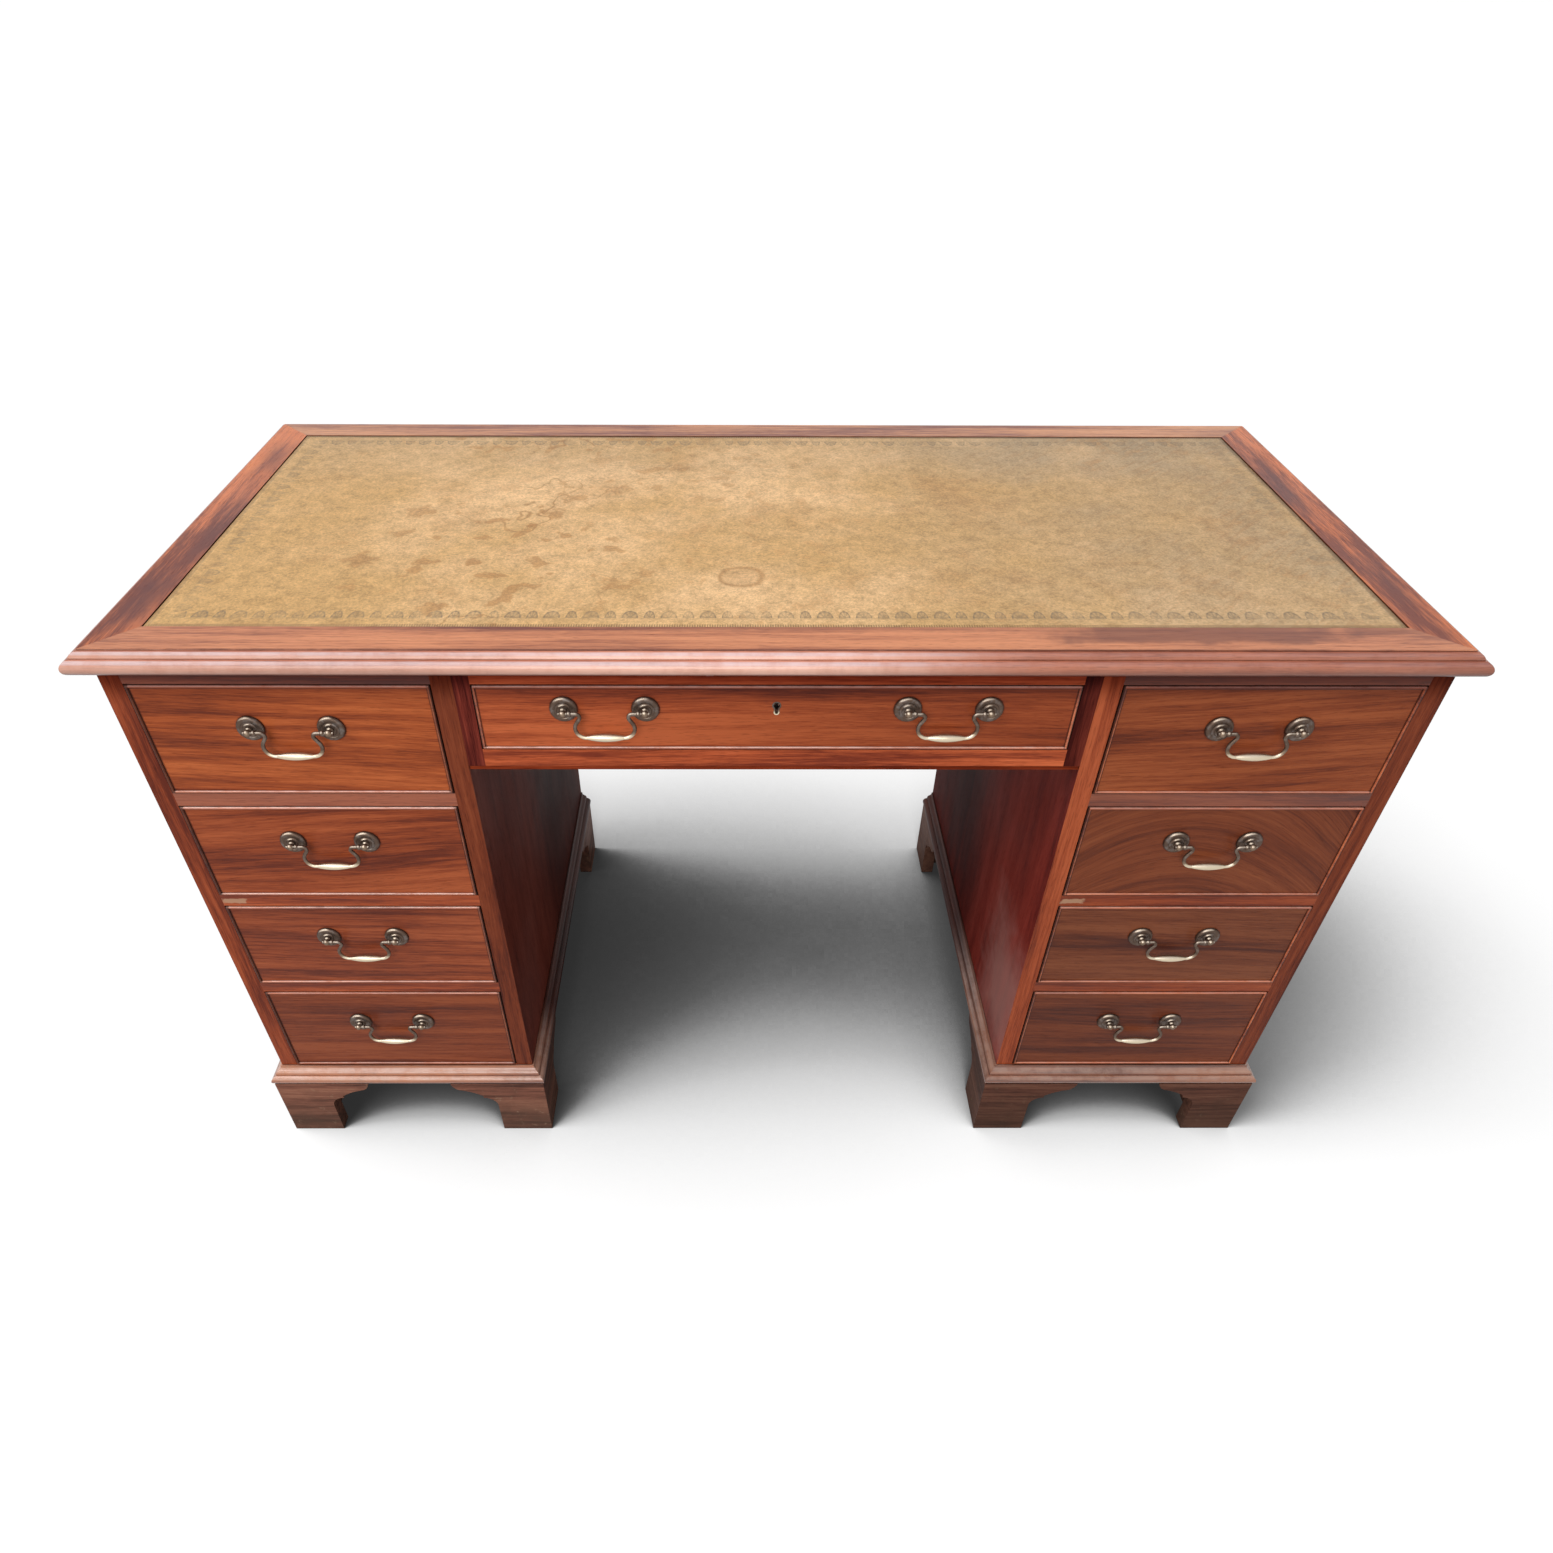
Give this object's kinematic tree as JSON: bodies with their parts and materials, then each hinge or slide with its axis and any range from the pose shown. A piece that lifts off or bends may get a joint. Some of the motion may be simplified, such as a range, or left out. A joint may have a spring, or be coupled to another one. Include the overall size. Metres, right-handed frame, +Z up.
{
  "type": "kneehole desk",
  "caption": "Mahogany pedestal desk with a leather writing top, cock-beaded drawers on swan-neck brass bails, a lockable centre drawer and bracket feet.",
  "frame": {"origin": "on the floor, at the middle of the desk's outer box in plan", "axes": "+X to the right as seen from the drawers, +Y to the back, +Z up"},
  "size_m": [1.372, 0.653, 0.7701],
  "materials": {
    "mahogany": "polished, worn at edges",
    "lining_wood": "bare, rubbed",
    "leather": "worn, tooled border",
    "brass": "aged, bright where handled",
    "lock_metal": "dull"
  },
  "bodies": {
    "desk": {"leather_inset": "leather", "top_panel": "lining_wood", "top_front_moulding": "mahogany", "top_back_moulding": "mahogany", "top_end_mouldings": "mahogany", "left_outer_side": "mahogany", "left_inner_side": "mahogany", "right_inner_side": "mahogany", "right_outer_side": "mahogany", "pedestal_backs": "mahogany", "left_drawer_rails": "mahogany", "right_drawer_rails": "mahogany", "left_drawer_runners": "lining_wood", "right_drawer_runners": "lining_wood", "left_base_moulding": "mahogany", "right_base_moulding": "mahogany", "left_feet": "mahogany", "right_feet": "mahogany", "centre_frame": "mahogany", "centre_dust_board": "mahogany"},
    "left_drawer_1": {"left_drawer_1_front": "mahogany", "left_drawer_1_box": "lining_wood", "left_drawer_1_posts": "brass"},
    "left_drawer_1_bail": {"left_drawer_1_bail": "brass"},
    "left_drawer_2": {"left_drawer_2_front": "mahogany", "left_drawer_2_box": "lining_wood", "left_drawer_2_posts": "brass"},
    "left_drawer_2_bail": {"left_drawer_2_bail": "brass"},
    "left_drawer_3": {"left_drawer_3_front": "mahogany", "left_drawer_3_box": "lining_wood", "left_drawer_3_posts": "brass"},
    "left_drawer_3_bail": {"left_drawer_3_bail": "brass"},
    "left_drawer_4": {"left_drawer_4_front": "mahogany", "left_drawer_4_box": "lining_wood", "left_drawer_4_posts": "brass"},
    "left_drawer_4_bail": {"left_drawer_4_bail": "brass"},
    "right_drawer_1": {"right_drawer_1_front": "mahogany", "right_drawer_1_box": "lining_wood", "right_drawer_1_posts": "brass"},
    "right_drawer_1_bail": {"right_drawer_1_bail": "brass"},
    "right_drawer_2": {"right_drawer_2_front": "mahogany", "right_drawer_2_box": "lining_wood", "right_drawer_2_posts": "brass"},
    "right_drawer_2_bail": {"right_drawer_2_bail": "brass"},
    "right_drawer_3": {"right_drawer_3_front": "mahogany", "right_drawer_3_box": "lining_wood", "right_drawer_3_posts": "brass"},
    "right_drawer_3_bail": {"right_drawer_3_bail": "brass"},
    "right_drawer_4": {"right_drawer_4_front": "mahogany", "right_drawer_4_box": "lining_wood", "right_drawer_4_posts": "brass"},
    "right_drawer_4_bail": {"right_drawer_4_bail": "brass"},
    "centre_drawer": {"centre_drawer_front": "mahogany", "centre_drawer_box": "lining_wood", "centre_drawer_posts": "brass", "lock_case": "lock_metal", "keyhole_escutcheon": "brass"},
    "centre_drawer_left_bail": {"centre_drawer_left_bail": "brass"},
    "centre_drawer_right_bail": {"centre_drawer_right_bail": "brass"},
    "lock_bolt": {"lock_bolt": "lock_metal"}
  },
  "joints": [
    {"name": "left_drawer_1_slide", "type": "slide", "parent": "desk", "child": "left_drawer_1", "axis": [0, -1, 0], "range_m": [0, 0.38]},
    {"name": "left_drawer_1_bail_swing", "type": "hinge", "parent": "left_drawer_1", "child": "left_drawer_1_bail", "pos_m": [-0.48975, -0.32185, 0.68255], "axis": [-1, 0, 0], "range_deg": [-11, 90]},
    {"name": "left_drawer_2_slide", "type": "slide", "parent": "desk", "child": "left_drawer_2", "axis": [0, -1, 0], "range_m": [0, 0.38]},
    {"name": "left_drawer_2_bail_swing", "type": "hinge", "parent": "left_drawer_2", "child": "left_drawer_2_bail", "pos_m": [-0.48975, -0.32185, 0.53265], "axis": [-1, 0, 0], "range_deg": [-11, 90]},
    {"name": "left_drawer_3_slide", "type": "slide", "parent": "desk", "child": "left_drawer_3", "axis": [0, -1, 0], "range_m": [0, 0.38]},
    {"name": "left_drawer_3_bail_swing", "type": "hinge", "parent": "left_drawer_3", "child": "left_drawer_3_bail", "pos_m": [-0.48975, -0.32185, 0.38275], "axis": [-1, 0, 0], "range_deg": [-11, 90]},
    {"name": "left_drawer_4_slide", "type": "slide", "parent": "desk", "child": "left_drawer_4", "axis": [0, -1, 0], "range_m": [0, 0.38]},
    {"name": "left_drawer_4_bail_swing", "type": "hinge", "parent": "left_drawer_4", "child": "left_drawer_4_bail", "pos_m": [-0.48975, -0.32185, 0.2246], "axis": [-1, 0, 0], "range_deg": [-11, 90]},
    {"name": "right_drawer_1_slide", "type": "slide", "parent": "desk", "child": "right_drawer_1", "axis": [0, -1, 0], "range_m": [0, 0.38]},
    {"name": "right_drawer_1_bail_swing", "type": "hinge", "parent": "right_drawer_1", "child": "right_drawer_1_bail", "pos_m": [0.48975, -0.32185, 0.68255], "axis": [-1, 0, 0], "range_deg": [-11, 90]},
    {"name": "right_drawer_2_slide", "type": "slide", "parent": "desk", "child": "right_drawer_2", "axis": [0, -1, 0], "range_m": [0, 0.38]},
    {"name": "right_drawer_2_bail_swing", "type": "hinge", "parent": "right_drawer_2", "child": "right_drawer_2_bail", "pos_m": [0.48975, -0.32185, 0.53265], "axis": [-1, 0, 0], "range_deg": [-11, 90]},
    {"name": "right_drawer_3_slide", "type": "slide", "parent": "desk", "child": "right_drawer_3", "axis": [0, -1, 0], "range_m": [0, 0.38]},
    {"name": "right_drawer_3_bail_swing", "type": "hinge", "parent": "right_drawer_3", "child": "right_drawer_3_bail", "pos_m": [0.48975, -0.32185, 0.38275], "axis": [-1, 0, 0], "range_deg": [-11, 90]},
    {"name": "right_drawer_4_slide", "type": "slide", "parent": "desk", "child": "right_drawer_4", "axis": [0, -1, 0], "range_m": [0, 0.38]},
    {"name": "right_drawer_4_bail_swing", "type": "hinge", "parent": "right_drawer_4", "child": "right_drawer_4_bail", "pos_m": [0.48975, -0.32185, 0.2246], "axis": [-1, 0, 0], "range_deg": [-11, 90]},
    {"name": "centre_drawer_slide", "type": "slide", "parent": "desk", "child": "centre_drawer", "axis": [0, -1, 0], "range_m": [0, 0.38]},
    {"name": "centre_drawer_left_bail_swing", "type": "hinge", "parent": "centre_drawer", "child": "centre_drawer_left_bail", "pos_m": [-0.1715, -0.32185, 0.7056], "axis": [-1, 0, 0], "range_deg": [-11, 90]},
    {"name": "centre_drawer_right_bail_swing", "type": "hinge", "parent": "centre_drawer", "child": "centre_drawer_right_bail", "pos_m": [0.1715, -0.32185, 0.7056], "axis": [-1, 0, 0], "range_deg": [-11, 90]},
    {"name": "lock_bolt_throw", "type": "slide", "parent": "centre_drawer", "child": "lock_bolt", "axis": [0, 0, 1], "range_m": [0, 0.008]}
  ]
}
